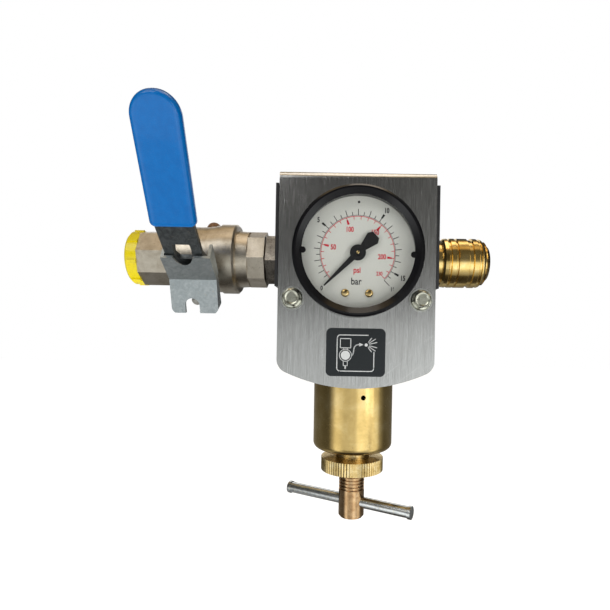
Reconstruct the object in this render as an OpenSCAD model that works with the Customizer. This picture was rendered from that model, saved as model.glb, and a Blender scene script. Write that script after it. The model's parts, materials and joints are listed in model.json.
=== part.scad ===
/* [Panel] */
// Width of the stainless front panel
panel_w = 79; // [76:1:100]
// Height of the panel above the flow axis
panel_up = 42; // [38:1:60]
// Height of the panel below the flow axis
panel_down = 67; // [64:1:90]
// Thickness of the panel sheet
panel_t = 2; // [1.5:0.5:3]
// Radius of the panel's curved lower edge
panel_sweep = 85; // [70:1:140]
// Distance from the wall to the panel's front
panel_depth = 52; // [50:1:70]

/* [Wall bracket] */
// Thickness of the bracket sheet
bracket_t = 1.5; // [1.5:0.5:3]
// Height of the bracket below the flow axis
bracket_down = 16; // [14:1:30]
// Gap between the panel's edge and the bracket's cheek
cheek_gap = 0.5; // [0.5:0.5:3]
// How far the bracket's cheeks stop below the panel's top edge
cheek_drop = 6; // [0:0.5:12]
// Distance between the wall screws
wall_screw_pitch = 60; // [44:1:66]
// Height of the wall screws above the flow axis
wall_screw_z = 28; // [20:1:32]
// Radius of a wall screw hole
wall_hole_r = 2.75; // [2:0.25:3.5]

/* [Regulator] */
// Distance from the panel's front to the flow axis
flow_depth = 24; // [23:1:30]
// Radius of the regulator body
body_r = 20; // [18:1:20]
// Radius of the spring housing
bonnet_r = 21.5; // [20:0.5:21.5]
// Wall of the spring housing
bonnet_wall = 3; // [2:0.5:5]
// Distance from the flow axis to the housing's lower face
bonnet_low = 102; // [98:1:130]
// Radius of the adjusting spindle
spindle_r = 7; // [5:0.5:7]
// Radius of the knurled lock nut
nut_r = 17; // [14:0.5:20]
// Height of the knurled rim
nut_h = 7; // [5:0.5:10]
// Radius of the tee bar
bar_r = 3; // [2:0.25:3.25]
// Length of the tee bar
bar_len = 76; // [50:1:90]
// Turn of the tee bar from the panel's plane
bar_turn = -29; // [-60:1:60]

/* [Gauge] */
// Outer radius of the gauge bezel
bezel_r = 31.5; // [28:0.5:33]
// Distance the bezel stands out from the panel
bezel_out = 14; // [12:0.5:20]
// Radius of the gauge window
window_r = 27; // [24:0.5:28]

/* [Ball valve] */
// Distance from the panel's centre to the valve stem
stem_x = 82.5; // [79:0.5:95]
// Tilt of the stem below the horizontal
stem_tilt = 30; // [20:1:40]
// Width across the flats of the valve ends
valve_af = 28; // [26:0.5:30]
// Radius of the valve barrel
barrel_r = 17.2; // [16:0.2:18]
// Length of the valve from the stem to the inlet end
inlet_len = 32.5; // [31:0.5:45]
// Radius of the ball
ball_r = 11; // [10:0.5:11.5]
// Radius of the flow bore
flow_r = 6.5; // [5:0.5:7]
// Tilt of the vent plug back from the vertical
vent_tilt = 30; // [20:1:50]
// Radius of the valve stem
stem_r = 4; // [3:0.5:5]
// Width of the lever
lever_w = 17.7; // [14:0.1:18.5]
// Reach of the lever from the stem
lever_reach = 84; // [75:1:110]
// Thickness of the lever sheet
lever_t = 2.5; // [2:0.25:3]
// Width of the grip sleeve
grip_w = 20.5; // [20:0.5:26]

/* [Coupler] */
// Outer radius of the coupler sleeve
sleeve_r = 13.4; // [12.6:0.2:16]
// Radius of the coupler's socket
socket_r = 5.05; // [4:0.05:6]
// Travel of the release sleeve
sleeve_travel = 3; // [2:0.5:4]

/* [Fits] */
// Radial clearance of a running fit
run_fit = 0.05; // [0.02:0.01:0.1]
// Gap between parts that only pass each other
pass_gap = 0.4; // [0.3:0.1:0.8]

/* [Hidden] */
$fn = 96;
e = 0.01;
panel_y = -panel_depth;
flow_y = panel_y + flow_depth;
panel_back = panel_y + panel_t;
cheek_in = panel_w / 2 + cheek_gap;
cheek_out = cheek_in + bracket_t;
port_r = 11.4;
body_low = 33;
body_top = 24;
bonnet_in = bonnet_r - bonnet_wall;
bonnet_floor = 6;
neck_r = 9.2;
neck_h = 5;
nut_top = bonnet_low + neck_h;
nut_low = nut_top + nut_h;
bar_z = -(nut_low + 17.5);
spindle_low = -(nut_low + 25.9);
button_z = -(bonnet_low - bonnet_floor - 8);
spring_r = 12;
spring_wire = 1.6;
plate_z = -46;
plate_t = 3;
bolt_x = panel_w / 2 - 7.4;
bolt_z = -22.3;
bolt_r = 3;
label_z = -48.8;
seat_z = 4;
seat_r = 4;
poppet_r = 5.5;
gauge_front = panel_y - bezel_out;
gauge_back = panel_y + 3;
case_r = bezel_r - 2;
dial_y = gauge_front + 9;
lens_y = gauge_front + 2.4;
arbor_r = 1;
dial_screw_x = 5.85;
dial_screw_z = -19.6;
rim_r = barrel_r + 1.6;
rim_x = 10.5;
rim_w = 8.5;
cone_w = 6;
nipple_x = cheek_out + 7;
end_x = stem_x - rim_x - rim_w;
hub_y = 20;
nut_seat = hub_y + lever_t + 0.1;
fold_z = 16;
fold_y = 32.5;
lock_t = 1.6;
lock_w = 23.4;
lock_off = 1.2; // the lock plate sits this far towards the outlet on the lever
pin_z = -13;
cap_len = 6.5;
cap_skirt = 1.6;
nose_x = cheek_out + 30;
sleeve_x0 = cheek_out + 4.7;
sleeve_x1 = cheek_out + 26.9;
balls_x = sleeve_x1 - 5.6; // the locking balls' plane
core_r = sleeve_r - 2.4;

// ---- helpers ----
module xcyl(x0, x1, r, y = flow_y, z = 0) {
    translate([x0, y, z]) rotate([0, 90, 0]) cylinder(r = r, h = x1 - x0);
}
module ycyl(y0, y1, r, x = 0, z = 0) {
    translate([x, y1, z]) rotate([90, 0, 0]) cylinder(r = r, h = y1 - y0);
}
module zcyl(z0, z1, r, x = 0, y = flow_y) {
    translate([x, y, z0]) cylinder(r = r, h = z1 - z0);
}
// solid of revolution about the flow axis, from [x, radius] points
module xlathe(points, y = flow_y) {
    translate([0, y, 0]) rotate([0, 90, 0]) rotate_extrude()
        polygon([for (p = points) [p[1], p[0]]]);
}
// solid of revolution about the gauge axis, from [y, radius] points
module ylathe(points) {
    rotate([-90, 0, 0]) rotate_extrude() polygon([for (p = points) [p[1], p[0]]]);
}
module zlathe(points) {
    translate([0, flow_y, 0]) rotate_extrude() polygon([for (p = points) [p[1], p[0]]]);
}
module xprism(x0, x1, af, sides, turn = 0) {
    translate([x0, flow_y, 0]) rotate([turn, 0, 0]) rotate([0, 90, 0])
        rotate(180 / sides) cylinder(r = af / 2 / cos(180 / sides), h = x1 - x0, $fn = sides);
}
// the valve's own frame: stem along -Y, lever along +Z
module at_stem() {
    translate([-stem_x, flow_y, 0]) rotate([stem_tilt, 0, 0]) children();
}
// the vent's own frame: outwards along +Z, up and back from the barrel
module at_vent() {
    translate([-stem_x + 1.5, flow_y, 0]) rotate([-vent_tilt, 0, 0]) children();
}
// a bent strip: centre line points [y, z], thickness t, extruded along X
function dir(a, b) = (b - a) / norm(b - a);
function left(d) = [-d[1], d[0]];
function side(p, i) = left(dir(p[i], p[i + 1]));
function bend(p, i) = i == 0 ? side(p, 0)
    : i == len(p) - 1 ? side(p, i - 1)
    : (side(p, i - 1) + side(p, i)) / (1 + side(p, i - 1) * side(p, i));
module strip(points, t, w) {
    n = len(points);
    outline = concat([for (i = [0:n - 1]) points[i] + bend(points, i) * t / 2],
        [for (i = [n - 1:-1:0]) points[i] - bend(points, i) * t / 2]);
    rotate([90, 0, 90]) translate([0, 0, -w / 2]) linear_extrude(w) polygon(outline);
}
// a coil spring along +Z from the origin
module coil(r, wire, turns, h, steps = 14, sides = 6) {
    n = turns * steps;
    pts = [for (i = [0:n]) for (k = [0:sides - 1])
        let (a = 360 * i / steps, b = 360 * k / sides)
        [(r + wire * cos(b)) * cos(a), (r + wire * cos(b)) * sin(a),
            wire + (h - 2 * wire) * i / n + wire * sin(b)]];
    sides_faces = [for (i = [0:n - 1]) for (k = [0:sides - 1])
        let (a = i * sides + k, b = i * sides + (k + 1) % sides)
        each [[a, a + sides, b], [b, a + sides, b + sides]]];
    ends = [[for (k = [0:sides - 1]) k], [for (k = [sides - 1:-1:0]) n * sides + k]];
    polyhedron(pts, concat(sides_faces, ends), convexity = 10);
}

// ---- panel and bracket ----
module panel_outline() {
    corner_r = 7;
    corner_x = panel_w / 2 - corner_r;
    arc_z = panel_sweep - panel_down;
    corner_z = arc_z - sqrt(pow(panel_sweep - corner_r, 2) - corner_x * corner_x);
    reach = 1.2 * panel_sweep / (panel_sweep - corner_r);
    intersection() {
        translate([0, arc_z]) circle(panel_sweep, $fn = 200);
        union() {
            translate([-panel_w / 2, corner_z]) square([panel_w, panel_up - corner_z - panel_t]);
            for (s = [-1, 1]) translate([s * corner_x, corner_z]) circle(corner_r);
            polygon([[0, arc_z], [-corner_x * reach, arc_z + (corner_z - arc_z) * reach],
                [corner_x * reach, arc_z + (corner_z - arc_z) * reach]]);
        }
    }
}
module front_panel() {
    bend_r = 2 * panel_t;
    flange_back = -bracket_t - 1;
    color([0.78, 0.79, 0.8]) difference() {
        union() {
            translate([0, panel_back, 0]) rotate([90, 0, 0]) linear_extrude(panel_t)
                intersection() {
                    panel_outline();
                    translate([-panel_w, -200]) square([2 * panel_w, 200 + panel_up - bend_r]);
                }
            intersection() {
                xcyl(-panel_w / 2, panel_w / 2, bend_r, panel_y + bend_r, panel_up - bend_r);
                translate([-panel_w / 2, panel_y, panel_up - bend_r])
                    cube([panel_w, bend_r, bend_r]);
            }
            translate([-panel_w / 2, panel_y + bend_r, panel_up - panel_t])
                cube([panel_w, flange_back - panel_y - bend_r, panel_t]);
        }
        xcyl(-panel_w, panel_w, bend_r - panel_t, panel_y + bend_r, panel_up - bend_r);
        ycyl(panel_y - 1, panel_back + 1, case_r + pass_gap);
        for (s = [-1, 1]) ycyl(panel_y - 1, panel_back + 1, bolt_r + pass_gap, s * bolt_x, bolt_z);
    }
}
module back_bracket() {
    color([0.09, 0.09, 0.1]) difference() {
        union() {
            translate([-cheek_out, -bracket_t, -bracket_down])
                cube([2 * cheek_out, bracket_t, bracket_down + panel_up]);
            for (s = [-1, 1]) translate([s > 0 ? cheek_in : -cheek_out, panel_back, -bracket_down])
                cube([bracket_t, -panel_back, bracket_down + panel_up - cheek_drop]);
        }
        for (s = [-1, 1]) ycyl(-bracket_t - 1, 1, wall_hole_r, s * wall_screw_pitch / 2, wall_screw_z);
        xcyl(-cheek_out - 1, -cheek_in + 1, port_r + pass_gap);
        xcyl(cheek_in - 1, cheek_out + 1, port_r + pass_gap);
    }
}
module panel_bolts() {
    color([0.8, 0.79, 0.7]) for (s = [-1, 1]) translate([s * bolt_x, 0, bolt_z]) {
        ycyl(panel_y - 2.2, panel_y - 1, 5.2);
        translate([0, panel_y - 2.2 + e, 0]) rotate([90, 0, 0]) rotate(s * 12)
            cylinder(r = 4.5, h = 3.4, $fn = 6);
        ycyl(panel_y - 1.5, panel_back + 9, bolt_r);
    }
}
module panel_washers() {
    color([0.72, 0.72, 0.72]) for (s = [-1, 1]) difference() {
        ycyl(panel_y - 1, panel_y, 5.9, s * bolt_x, bolt_z);
        ycyl(panel_y - 2, panel_y + 1, bolt_r + pass_gap / 2, s * bolt_x, bolt_z);
    }
}
module label_plate() {
    w = 29.6;
    h = 24;
    r = 2.6;
    color([0.13, 0.14, 0.15]) translate([0, panel_y, label_z]) rotate([90, 0, 0]) linear_extrude(0.8) {
        square([w - 2 * r, h], center = true);
        square([w, h - 2 * r], center = true);
        for (x = [-1, 1]) for (y = [-1, 1]) translate([x * (w / 2 - r), y * (h / 2 - r)]) circle(r);
    }
}

// ---- regulator ----
module regulator_body() {
    color([0.2, 0.2, 0.21]) difference() {
        union() {
            zcyl(-body_low, -body_low + 14, body_r);
            zcyl(-body_low + 10, body_top, 14);
            xcyl(-cheek_in, cheek_in, 13);
            ycyl(gauge_back, flow_y, 8);
            for (s = [-1, 1]) ycyl(panel_back, flow_y, 5.5, s * bolt_x, bolt_z);
            translate([-bolt_x, flow_y - 6, bolt_z - 5]) cube([2 * bolt_x, 10, 10]);
        }
        xcyl(-cheek_in - 1, -7, flow_r);
        xcyl(7, cheek_in + 1, flow_r);
        for (s = [-1, 1]) xcyl(s > 0 ? cheek_in - 14 : -cheek_in - 1, s > 0 ? cheek_in + 1 : -cheek_in + 14, 8);
        zcyl(seat_z, body_top + 1, 8);
        zcyl(-body_low - 1, seat_z - 2, 3);
        zcyl(seat_z - 3.5, seat_z + 1, 6.5);
        zcyl(-body_low - 1, -body_low + 6, 15);
        xcyl(-10, -6, 4, flow_y, seat_z + 4);
        xcyl(-12, -4, 4, flow_y, 3);
        xcyl(2, 12, 3.5, flow_y, -4);
        ycyl(gauge_back - 1, flow_y, 4);
        for (s = [-1, 1]) ycyl(panel_back - 1, panel_back + 10, bolt_r, s * bolt_x, bolt_z);
    }
}
module bonnet() {
    round_r = 3.5;
    color([0.78, 0.6, 0.26]) difference() {
        union() {
            zcyl(-bonnet_low + round_r, -body_low, bonnet_r);
            zcyl(-bonnet_low, -body_low - 1, bonnet_r - round_r);
            translate([0, flow_y, -bonnet_low + round_r]) rotate_extrude()
                translate([bonnet_r - round_r, 0]) circle(round_r, $fn = 48);
        }
        zcyl(-bonnet_low + bonnet_floor, -body_low + 1, bonnet_in);
        zcyl(-bonnet_low - 1, -bonnet_low + bonnet_floor + 1, spindle_r + run_fit);
        translate([0, flow_y, -72]) rotate([0, 0, 12]) rotate([90, 0, 0])
            cylinder(r = 1.3, h = bonnet_r + 2);
    }
}
module valve_seat() {
    color([0.75, 0.6, 0.3]) difference() {
        zcyl(seat_z - 3.5, seat_z + 1, 6.5);
        zcyl(seat_z - 4, seat_z + 2, seat_r);
    }
}
module poppet() {
    color([0.15, 0.15, 0.15]) {
        zcyl(seat_z + 1, seat_z + 5, poppet_r);
        zcyl(plate_z + plate_t, seat_z + 2, 1.6);
        zcyl(seat_z + 5 - e, seat_z + 10, 2);
    }
}
module poppet_spring() {
    color([0.7, 0.7, 0.72]) translate([0, flow_y, seat_z + 5.1]) coil(3.6, 0.4, 5, body_top - 5.1 - seat_z - 5.1);
}
module top_plug() {
    color([0.6, 0.6, 0.6]) difference() {
        union() {
            zcyl(body_top - 5, body_top, 7.95);
            translate([0, flow_y, body_top + 1]) cylinder(r = 9.5, h = 5, $fn = 6);
            zcyl(body_top - e, body_top + 1 + e, 7.95);
        }
        zcyl(body_top - 6, body_top - 3, 2.3);
    }
}
module plug_seal() {
    color([0.1, 0.1, 0.1]) difference() {
        zcyl(body_top, body_top + 1, 9.4);
        zcyl(body_top - 1, body_top + 2, 8);
    }
}
module diaphragm() {
    color([0.12, 0.12, 0.12]) translate([0, flow_y, plate_z + plate_t]) rotate_extrude()
        polygon([[2.2, 0], [11, 0], [12.5, 2], [14.5, 2], [15, 9.9], [bonnet_in - 0.3, 9.9],
            [bonnet_in - 0.3, 8.9], [16, 8.9], [15.5, 1], [13, 1], [11.5, -0], [11.5, -0.9], [2.2, -0.9]]);
}
module diaphragm_plate() {
    color([0.7, 0.7, 0.7]) {
        zcyl(plate_z - plate_t + 1, plate_z + plate_t - 0.9, spring_r + 1.5);
        zcyl(plate_z - plate_t + 1, plate_z + plate_t - e, 1.9);
        zcyl(plate_z - plate_t - 2, plate_z - plate_t + 2, spring_r - spring_wire - 1);
    }
}
module adjusting_spring() {
    top = plate_z - plate_t + 1;
    low = button_z + 4;
    color([0.75, 0.75, 0.76]) translate([0, flow_y, low]) coil(spring_r, spring_wire, 6, top - low, 16, 8);
}
module spring_button() {
    color([0.72, 0.58, 0.3]) difference() {
        union() {
            zcyl(button_z, button_z + 4, spring_r + 2.4);
            zcyl(button_z + 3, button_z + 7, spring_r - spring_wire - 1);
        }
        zcyl(button_z - 1, button_z + 4, 3.5 + run_fit);
    }
}
module spindle() {
    pitch = 1.75;
    turns = 6;
    depth = 0.7;
    groove_top = -nut_low - 0.5;
    color([0.62, 0.44, 0.26]) difference() {
        union() {
            zcyl(spindle_low + 1, button_z - 0.2, spindle_r);
            zcyl(spindle_low, spindle_low + 1 + e, spindle_r - 0.8);
            zcyl(button_z - 0.3, button_z + 3.8, 3.5);
        }
        for (i = [0:turns - 1]) translate([0, 0, groove_top - i * pitch]) zlathe([[0, spindle_r + 1],
            [-pitch * 0.9, spindle_r + 1], [-pitch * 0.75, spindle_r - depth], [-pitch * 0.15, spindle_r - depth]]);
        translate([0, flow_y, bar_z]) rotate([0, 0, bar_turn]) rotate([0, 90, 0])
            cylinder(r = bar_r + run_fit, h = 4 * spindle_r, center = true);
    }
}
module lock_nut() {
    teeth = 72;
    depth = 0.35;
    color([0.84, 0.66, 0.3]) difference() {
        union() {
            zcyl(-nut_top - 1, -bonnet_low, neck_r);
            translate([0, flow_y, -nut_low]) linear_extrude(nut_h)
                polygon([for (i = [0:2 * teeth - 1]) let (a = 180 * i / teeth, r = nut_r - (i % 2) * depth)
                    [r * cos(a), r * sin(a)]]);
        }
        zcyl(-nut_low - 1, -bonnet_low + 1, spindle_r + run_fit);
    }
}
module tee_bar() {
    slip = 3;
    head = 1.6;
    color([0.72, 0.75, 0.78]) translate([0, flow_y, bar_z]) rotate([0, 0, bar_turn]) rotate([0, 90, 0])
        translate([0, 0, -slip]) {
            cylinder(r = bar_r, h = bar_len, center = true);
            for (s = [-1, 1]) translate([0, 0, s * (bar_len - head) / 2])
                cylinder(r = bar_r + 0.45, h = head, center = true);
        }
}

// ---- gauge ----
module gauge_case() {
    color([0.06, 0.06, 0.06]) difference() {
        ylathe([[gauge_back, 0], [gauge_back, case_r], [gauge_front + 7, case_r], [gauge_front + 7, 0]]);
        ycyl(gauge_front, gauge_back - 1.5, case_r - 1.5);
        ycyl(gauge_front, gauge_back + 2, 4);
    }
}
module gauge_bezel() {
    color([0.04, 0.04, 0.045]) ylathe([[gauge_front + 7, case_r - 1.5], [gauge_front + 7, case_r + run_fit],
        [gauge_front + 10, case_r + run_fit],
        [gauge_front + 10, bezel_r], [gauge_front + 1, bezel_r], [gauge_front, bezel_r - 1],
        [gauge_front, bezel_r - 1.8], [lens_y - 0.4, window_r], [lens_y - 0.2, window_r],
        [lens_y - 0.2, window_r + 1.2], [lens_y + 2.4, window_r + 1.2], [lens_y + 2.4, case_r - 1.5]]);
}
module gauge_lens() {
    color([0.85, 0.9, 0.92, 0.3]) ycyl(lens_y - 0.2, lens_y + 1.8, window_r + 1.2);
}
module gauge_dial() {
    color([0.93, 0.93, 0.88]) difference() {
        ycyl(dial_y, dial_y + 0.8, case_r - 1.5);
        ycyl(dial_y - 1, dial_y + 2, arbor_r + pass_gap);
        for (s = [-1, 1]) ycyl(dial_y - 1, dial_y + 2, 0.9, s * dial_screw_x, dial_screw_z);
    }
}
module dial_screws() {
    color([0.8, 0.6, 0.25]) for (s = [-1, 1]) translate([s * dial_screw_x, 0, dial_screw_z]) {
        ycyl(dial_y - 1.1, dial_y, 2);
        ycyl(dial_y - 0.1, dial_y + 5, 0.9);
    }
}
module gauge_pointer() {
    color([0.03, 0.03, 0.03]) {
        translate([0, dial_y - 1.5, 0]) rotate([0, 45, 0]) rotate([90, 0, 0]) linear_extrude(0.7) {
            circle(3.9);
            polygon([[-1.6, 0], [1.6, 0], [0.35, -23], [-0.35, -23]]);
            polygon([[-1.3, 2], [1.3, 2], [3.6, 10], [2.2, 12.2], [-2.2, 12.2], [-3.6, 10]]);
        }
        ycyl(dial_y - 2.9, dial_y - 1.5, 1.5);
        ycyl(dial_y - 2, dial_y + 5.5, arbor_r);
    }
}
module gauge_socket() {
    color([0.72, 0.57, 0.3]) difference() {
        union() {
            ycyl(dial_y + 5, gauge_back + 1, 3.95);
            translate([-7, dial_y + 3, -22]) cube([14, 3.4, 26]);
            ycyl(gauge_back - 1.5, flow_y - 13.6, 3.9);
        }
        ycyl(dial_y, dial_y + 6, arbor_r + run_fit);
        ycyl(dial_y + 6.5, flow_y, 1.2);
        for (s = [-1, 1]) ycyl(dial_y, dial_y + 6, 0.9, s * dial_screw_x, dial_screw_z);
    }
}
module bourdon_tube() {
    start = 22;
    color([0.75, 0.6, 0.3]) translate([0, dial_y + 3.4, 0]) rotate([90, 0, 0]) rotate(start - 90)
        rotate_extrude(angle = 230) translate([19, 0]) square([1.6, 5], center = true);
}

// ---- ball valve ----
module inlet_nipple() {
    color([0.32, 0.3, 0.28]) difference() {
        union() {
            xprism(-nipple_x + 0.7, -cheek_out, 25.5, 6, 8);
            xcyl(-nipple_x - 9, -nipple_x + 1, 9);
            xcyl(-cheek_out - 1, -cheek_in + 13, 7.95);
        }
        xcyl(-nipple_x - 10, -cheek_in + 14, flow_r - 1);
    }
}
module valve_body() {
    neck = 8;
    color([0.68, 0.62, 0.53]) {
        difference() {
            union() {
                xprism(-stem_x - inlet_len, -stem_x - 12, valve_af, 8, 22.5 - 7.5);
                xcyl(-stem_x - 14, -stem_x + rim_x, barrel_r);
                xcyl(-stem_x + 4.5, -stem_x + rim_x, barrel_r + 0.4);
                xcyl(-stem_x + 7.5, -stem_x + rim_x, barrel_r + 0.9);
                at_stem() ycyl(-hub_y + 0.4, 0, neck);
                at_stem() ycyl(-barrel_r - 1, 0, 4, 0, pin_z);
                at_vent() zcyl(8, barrel_r + 0.7, 4.4, 0, 0);
            }
            xcyl(-stem_x - inlet_len - 1, -stem_x - inlet_len + 15, 9.3);
            xcyl(-stem_x - inlet_len, -stem_x - ball_r, flow_r);
            xcyl(-stem_x - ball_r - 2.2, -stem_x + rim_x + 1, ball_r + 0.3);
            at_stem() ycyl(-hub_y - 1, 0, stem_r + run_fit);
            at_stem() ycyl(-hub_y - 1, -hub_y + 4, stem_r + 2);
            at_stem() ycyl(-hub_y - 9, -barrel_r + 4, 1.6, 0, pin_z);
            at_vent() zcyl(8, barrel_r + 3, 2.6, 0, 0);
        }
    }
}
module valve_end() {
    color([0.68, 0.62, 0.53]) difference() {
        xlathe([[-stem_x + rim_x, 0], [-stem_x + rim_x, rim_r], [-end_x - 1, rim_r], [-end_x, rim_r - 1],
            [-end_x, 15.4], [-end_x + cone_w, 15], [-end_x + cone_w, 0]]);
        xcyl(-stem_x, -stem_x + ball_r + 2.2, ball_r + 0.3);
        xcyl(-stem_x, -nipple_x, flow_r);
        xcyl(-nipple_x - 9.5, 0, 9);
    }
    color([0.68, 0.62, 0.53]) difference() {
        xprism(-end_x + cone_w - e, -nipple_x, valve_af, 8, 22.5 + 3);
        xcyl(-end_x, 0, 9);
    }
}
module ball() {
    slot = 3;
    color([0.85, 0.85, 0.86]) at_stem() difference() {
        sphere(ball_r);
        cylinder(r = flow_r, h = 3 * ball_r, center = true);
        translate([-ball_r, -2 * ball_r, -slot / 2]) cube([2 * ball_r, ball_r + 3, slot]);
    }
}
module ball_seats() {
    // each seat's cone is tangent to the ball at 45 degrees
    reach = ball_r * sqrt(2) + run_fit;
    outer = ball_r + 0.2;
    back = ball_r + 2.1;
    color([0.93, 0.93, 0.9]) for (s = [0, 1]) translate([-stem_x, flow_y, 0]) mirror([s, 0, 0])
        xlathe([[reach - flow_r, flow_r], [back, flow_r], [back, outer], [reach - outer, outer]], 0);
}
module stem() {
    tang = 2.8;
    color([0.8, 0.76, 0.66]) at_stem() {
        ycyl(-nut_seat - 4.6, -ball_r, stem_r);
        intersection() {
            ycyl(-ball_r - 1, -ball_r + 2.6, stem_r);
            translate([-stem_r, -2 * ball_r, -tang / 2]) cube([2 * stem_r, 2 * ball_r, tang]);
        }
    }
}
module stem_seal() {
    color([0.1, 0.1, 0.1]) at_stem() difference() {
        ycyl(-hub_y + 0.6, -hub_y + 4, stem_r + 2 - run_fit);
        ycyl(-hub_y, -hub_y + 5, stem_r + run_fit);
    }
}
module stem_nut() {
    color([0.8, 0.8, 0.78]) at_stem() difference() {
        translate([0, -nut_seat, 0]) rotate([90, 0, 0]) cylinder(r = 5.6, h = 3.4, $fn = 6);
        ycyl(-nut_seat - 5, -nut_seat + 1, stem_r);
    }
}
function lever_line() = [[-hub_y - lever_t / 2, 0], [-hub_y - lever_t / 2, 7], [-fold_y, fold_z],
    [-39, 32], [-40, lever_reach - 2]];
// the lever before its holes: a folded strip with a round end
module lever_blank() {
    end = lever_reach - 2;
    intersection() {
        strip(lever_line(), lever_t, lever_w);
        union() {
            ycyl(-60, 0, lever_w / 2, 0, end - lever_w / 2);
            translate([-lever_w / 2, -60, -lever_w]) cube([lever_w, 60, end + lever_w / 2]);
        }
    }
}
module lever() {
    color([0.3, 0.33, 0.35]) at_stem() difference() {
        union() {
            lever_blank();
            ycyl(-hub_y - lever_t, -hub_y, lever_w / 2);
        }
        ycyl(-hub_y - lever_t - 1, -hub_y + 1, stem_r);
        translate([0, -fold_y, fold_z]) rotate([45, 0, 0]) cylinder(r = 4.2, h = 12, center = true);
    }
}
module grip_sleeve() {
    wall = 1.5;
    z0 = 31;
    r = grip_w / 2;
    out = -40 - lever_t / 2;
    color([0.0, 0.36, 0.72]) at_stem() difference() {
        translate([0, out - wall, 0]) rotate([-90, 0, 0]) linear_extrude(lever_t + 2 * wall + 0.6) {
            translate([0, -(lever_reach + wall - r)]) circle(r);
            translate([-r, -(lever_reach + wall - r)]) square([grip_w, lever_reach + wall - r - z0]);
        }
        lever_blank();
    }
}
module lock_plate() {
    line = [[-fold_y - 2.9, fold_z - 1], [-28.9, 1], [-32.8, -16]];
    side = [[-fold_y - 2.9, fold_z - 1], [-28.9, 1], [-25, 2.5], [-26, 8], [-29, 19]];
    skirt = [[-32.8, -16], [-28.9, 1], [-26, 1], [-26, -16]];
    color([0.5, 0.54, 0.56]) at_stem() difference() {
        translate([lock_off, 0, 0]) {
            strip(line, lock_t, lock_w);
            for (s = [-1, 1]) translate([s * (lock_w / 2 - 0.7), 0, 0]) rotate([90, 0, 90])
                linear_extrude(1.4, center = true) {
                    polygon(side);
                    polygon(skirt);
                }
        }
        translate([0, -fold_y - 2, fold_z]) rotate([65, 0, 0]) cylinder(r = 5, h = 12, center = true);
        ycyl(-45, -25, 3.6, 0, pin_z + 1);
        translate([-3.6, -45, -20]) cube([7.2, 20, 8]);
    }
}
module stop_screw() {
    color([0.85, 0.84, 0.8]) at_stem() {
        ycyl(-25.0, -barrel_r - 1, 2.6, 0, pin_z);
        ycyl(-barrel_r - 1.1, -barrel_r + 3.8, 1.6, 0, pin_z);
    }
}
module vent_plug() {
    r = 4.2;
    head = barrel_r + 0.7;
    color([0.62, 0.42, 0.24]) at_vent() {
        zcyl(ball_r + 1, head + 1, 2.6, 0, 0);
        zcyl(head, head + 3.4, r, 0, 0);
        translate([0, 0, head + 3.4 - e]) rotate_extrude() intersection() {
            circle(r);
            square(r);
        }
    }
}
module inlet_cap() {
    ribs = 8;
    x1 = -stem_x - inlet_len;
    cap_r = valve_af / 2 + 0.4;
    color([0.95, 0.87, 0.05]) {
        difference() {
            union() {
                xlathe([[x1 - cap_len, 0], [x1 - cap_len, cap_r - 1], [x1 - cap_len + 1, cap_r],
                    [x1 - e, cap_r], [x1, cap_r - 0.1], [x1, 0]]);
                for (i = [0:ribs - 1]) translate([0, flow_y, 0]) rotate([i * 360 / ribs + 15, 0, 0])
                    translate([x1 - cap_len + 1.5, -0.9, cap_r - 1]) cube([cap_len - 1.6, 1.8, 1.7]);
            }
            xcyl(x1 - cap_len + cap_skirt, x1 + 1, cap_r - 1.6);
        }
        xcyl(x1 - cap_len + cap_skirt - e, x1 + 8, 9);
    }
}

// ---- quick coupler ----
module coupler_body() {
    color([0.74, 0.56, 0.24]) difference() {
        xlathe([[cheek_in - 13, 0], [cheek_in - 13, 7.95], [cheek_out, 7.95], [cheek_out, port_r],
            [sleeve_x0 - 3.2, port_r], [sleeve_x0 - 3.2, core_r], [sleeve_x1 + 1, core_r],
            [sleeve_x1 + 1, sleeve_r - 1.6], [nose_x - 1, sleeve_r - 3.2], [nose_x, sleeve_r - 4.2], [nose_x, 0]]);
        xcyl(cheek_in - 14, cheek_out + 4, 3.5);
        xcyl(cheek_out + 2.5, sleeve_x1 - 9, socket_r + 1.6);
        xcyl(sleeve_x1 - 10, nose_x + 1, socket_r);
        for (i = [0:5]) translate([balls_x, flow_y, 0]) rotate([60 * i, 0, 0])
            cylinder(r = 1.6 + run_fit, h = core_r + 1);
    }
}
module coupler_sleeve() {
    x = sleeve_x0;
    r = sleeve_r;
    deep = r - 0.8;
    color([0.86, 0.68, 0.32]) xlathe([[x, core_r + run_fit], [x, r - 1.1], [x + 1, r - 0.2], [x + 2.8, r],
        [x + 3.3, deep], [x + 3.9, deep], [x + 4.4, r], [x + 6.8, r], [x + 7.2, deep], [x + 7.8, deep],
        [x + 8.1, r], [x + 13.4, r], [x + 13.8, deep], [x + 15.6, deep], [x + 16.1, r], [x + 18.6, r],
        [x + 19.1, deep], [x + 20, deep], [x + 20.4, r - 0.2], [sleeve_x1 - 1, r - 0.5], [sleeve_x1, r - 1.4],
        [sleeve_x1, core_r + run_fit]]);
}
module coupler_balls() {
    color([0.85, 0.85, 0.85]) for (i = [0:5]) translate([balls_x, flow_y, 0]) rotate([60 * i, 0, 0])
        translate([0, 0, core_r - 1.7]) sphere(1.6, $fn = 40);
}
module coupler_poppet() {
    color([0.75, 0.58, 0.3]) {
        xcyl(sleeve_x1 - 12.6, sleeve_x1 - 10.6, socket_r + 1.2);
        xcyl(sleeve_x1 - 18, sleeve_x1 - 9.2, 1.8);
    }
}
module coupler_spring() {
    color([0.7, 0.7, 0.72]) translate([cheek_out + 4.1, flow_y, 0]) rotate([0, 90, 0])
        coil(4.6, 0.5, 5, sleeve_x1 - 12.7 - cheek_out - 4.1);
}
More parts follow.
